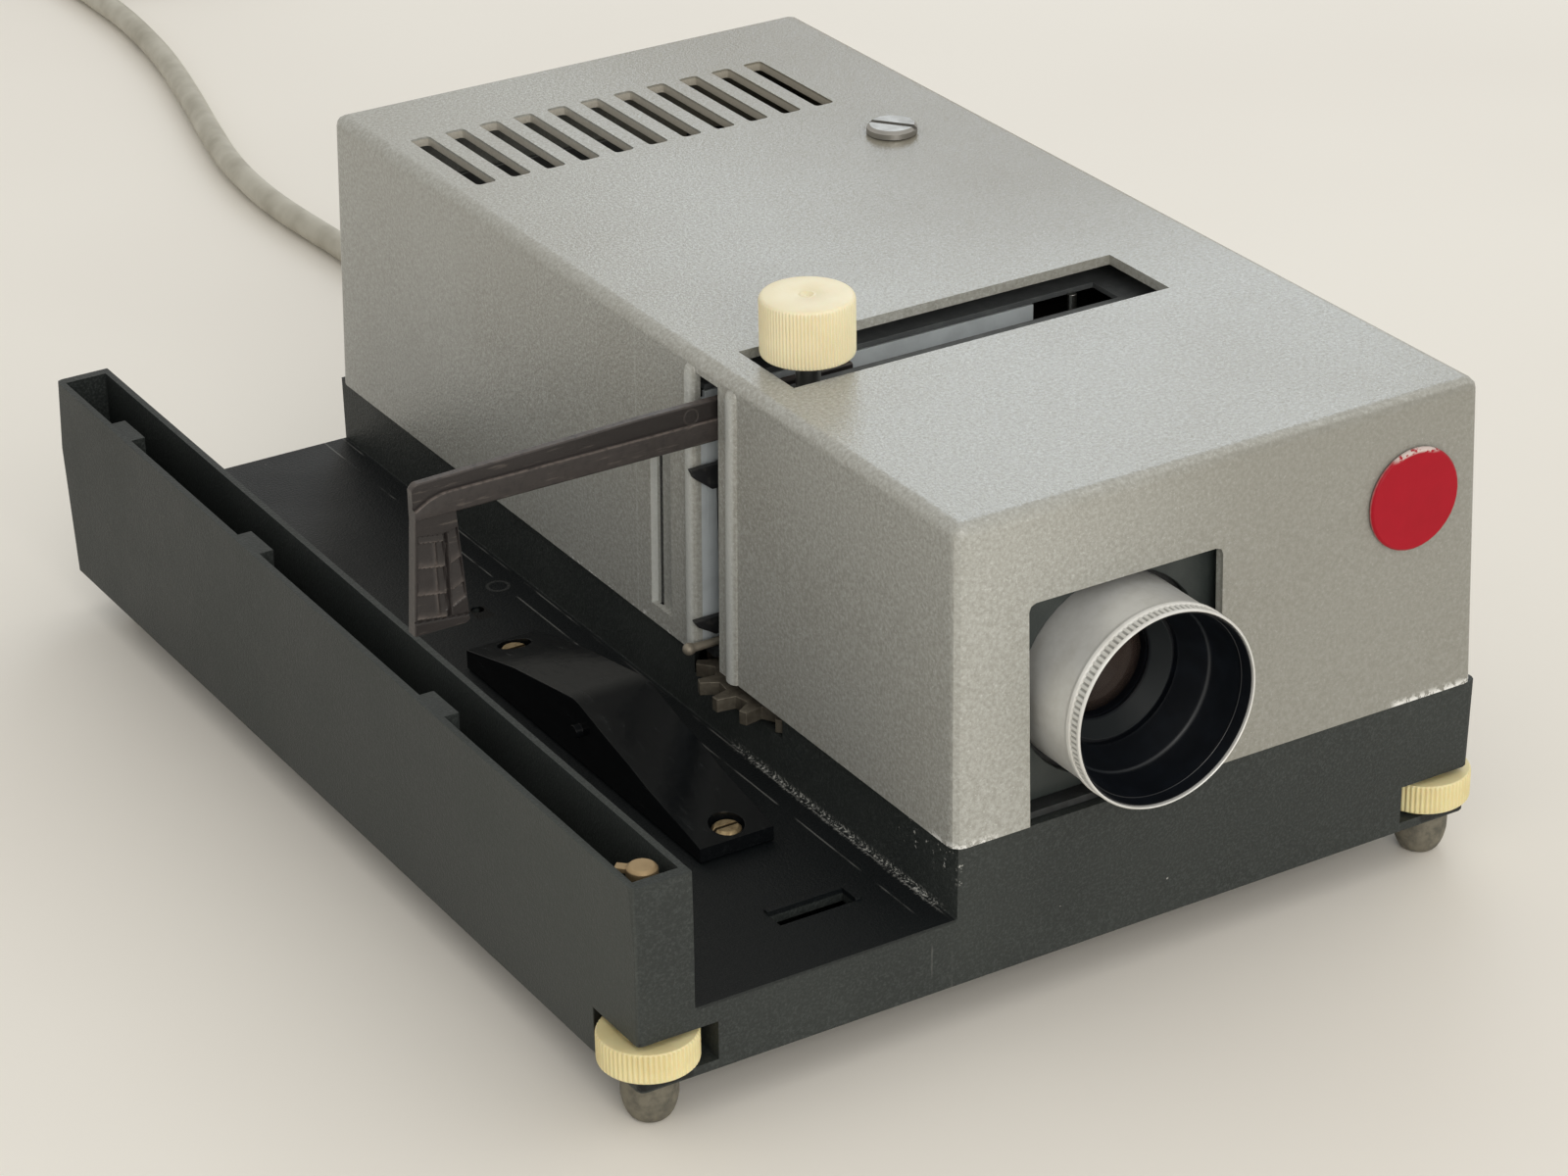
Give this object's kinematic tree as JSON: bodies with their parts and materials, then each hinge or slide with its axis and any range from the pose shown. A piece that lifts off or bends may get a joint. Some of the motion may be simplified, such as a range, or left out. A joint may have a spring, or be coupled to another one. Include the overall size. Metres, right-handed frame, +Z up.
{
  "type": "slide projector",
  "caption": "Slide projector with a side magazine channel, sliding changer arm, index knob, focusing lens and screw-down front feet.",
  "frame": {"origin": "middle of the object's plan without its cord, on the surface that the feet stand on", "axes": "+Y runs from the lens to the back, +X to the right as seen from the lens side, +Z up"},
  "size_m": [0.2774, 0.811, 0.123],
  "materials": {
    "shell_paint": "light warm grey hammer finish paint",
    "base_paint": "dark green-black fine wrinkle paint",
    "knob_plastic": "satin cream moulding",
    "wheel_plastic": "satin yellowed cream moulding",
    "brown_plastic": "satin grey-brown moulding",
    "black_plastic": "glossy black moulding",
    "black_paint": "matt black paint",
    "bright_metal": "satin turned aluminium",
    "plain_steel": "plain steel",
    "zinc": "dull zinc casting",
    "brass": "worn brass",
    "rubber": "aged grey rubber",
    "badge_red": "plain red enamel",
    "glass": "coated optical glass",
    "cord_grey": "aged light grey cord jacket",
    "copper": "varnished copper winding",
    "sheet_metal": "plain grey sheet metal"
  },
  "bodies": {
    "projector": {"base_tray": "base_paint", "bottom_plate": "black_paint", "left_bottom_screw": "plain_steel", "right_bottom_screw": "plain_steel", "left_rear_foot": "rubber", "right_rear_foot": "rubber", "top_shell": "shell_paint", "front_badge": "badge_red", "cover_screw": "bright_metal", "cover_post": "plain_steel", "chassis_plate": "sheet_metal", "left_chassis_screw": "plain_steel", "right_chassis_screw": "plain_steel", "lens_panel": "black_paint", "lens_sleeve": "black_paint", "gate_front_plate": "sheet_metal", "gate_rear_plate": "sheet_metal", "changer_guide": "black_paint", "changer_shelf": "sheet_metal", "slide_guides": "black_plastic", "stop_pin": "plain_steel", "index_bush": "brass", "catch_block": "plain_steel", "magazine_ramp": "black_plastic", "front_ramp_screw": "brass", "rear_ramp_screw": "brass", "condenser_tube": "black_paint", "front_condenser": "glass", "rear_condenser": "glass", "heat_filter": "glass", "lamp_house": "sheet_metal", "lamp_bulb": "glass", "lamp_socket": "black_paint", "lamp_mirror": "bright_metal", "transformer_core": "plain_steel", "transformer_winding": "copper", "terminal_block": "knob_plastic", "primary_lead": "rubber", "switch_housing": "black_plastic", "cord_gland": "cord_grey", "mains_cord": "cord_grey", "cord_coil": "cord_grey", "mains_plug": "cord_grey"},
    "changer": {"changer_arm": "brown_plastic"},
    "index": {"index_knob": "knob_plastic", "index_shaft": "plain_steel", "star_wheel": "zinc"},
    "catch": {"magazine_catch": "bright_metal"},
    "lens_unit": {"lens_cell": "black_paint", "front_glass": "glass", "rear_glass": "glass"},
    "lens_ring": {"lens_barrel": "bright_metal", "lens_hood": "black_paint"},
    "left_wheel": {"left_foot_wheel": "wheel_plastic"},
    "left_leg": {"left_foot_spindle": "brass", "left_foot_pad": "rubber"},
    "right_wheel": {"right_foot_wheel": "wheel_plastic"},
    "right_leg": {"right_foot_spindle": "brass", "right_foot_pad": "rubber"},
    "rocker": {"switch_rocker": "black_plastic"}
  },
  "joints": [
    {"name": "changer_slide", "type": "slide", "parent": "projector", "child": "changer", "axis": [1, 0, 0], "range_m": [0, 0.064]},
    {"name": "index_turn", "type": "hinge", "parent": "projector", "child": "index", "pos_m": [-0.00975, -0.0435, 0.08], "axis": [0, 0, 1], "continuous": true},
    {"name": "catch_slide", "type": "slide", "parent": "projector", "child": "catch", "axis": [1, 0, 0], "range_m": [0, 0.0035], "stiffness_N_per_m": 200},
    {"name": "focus_slide", "type": "slide", "parent": "projector", "child": "lens_unit", "axis": [0, -1, 0], "range_m": [-0.006, 0.012]},
    {"name": "focus_turn", "type": "hinge", "parent": "lens_unit", "child": "lens_ring", "pos_m": [0.01105, -0.13, 0.0659], "axis": [0, -1, 0], "range_deg": [-108.5, 216.5]},
    {"name": "left_wheel_turn", "type": "hinge", "parent": "projector", "child": "left_wheel", "pos_m": [-0.09295, -0.1181, 0.016], "axis": [0, 0, 1], "range_deg": [0, 2641]},
    {"name": "left_leg_slide", "type": "slide", "parent": "projector", "child": "left_leg", "axis": [0, 0, -1], "range_m": [0, 0.011]},
    {"name": "right_wheel_turn", "type": "hinge", "parent": "projector", "child": "right_wheel", "pos_m": [0.09295, -0.1181, 0.016], "axis": [0, 0, 1], "range_deg": [0, 2641]},
    {"name": "right_leg_slide", "type": "slide", "parent": "projector", "child": "right_leg", "axis": [0, 0, -1], "range_m": [0, 0.011]},
    {"name": "switch_rock", "type": "hinge", "parent": "projector", "child": "rocker", "pos_m": [0.07185, 0.13444, 0.0748], "axis": [1, 0, 0], "range_deg": [0, 12.5]}
  ],
  "couplings": [
    {"joint": "focus_turn", "follows": "focus_slide", "rad_per_m": 314.16},
    {"joint": "left_wheel_turn", "follows": "left_leg_slide", "rad_per_m": 4188.8},
    {"joint": "right_wheel_turn", "follows": "right_leg_slide", "rad_per_m": 4188.8}
  ]
}
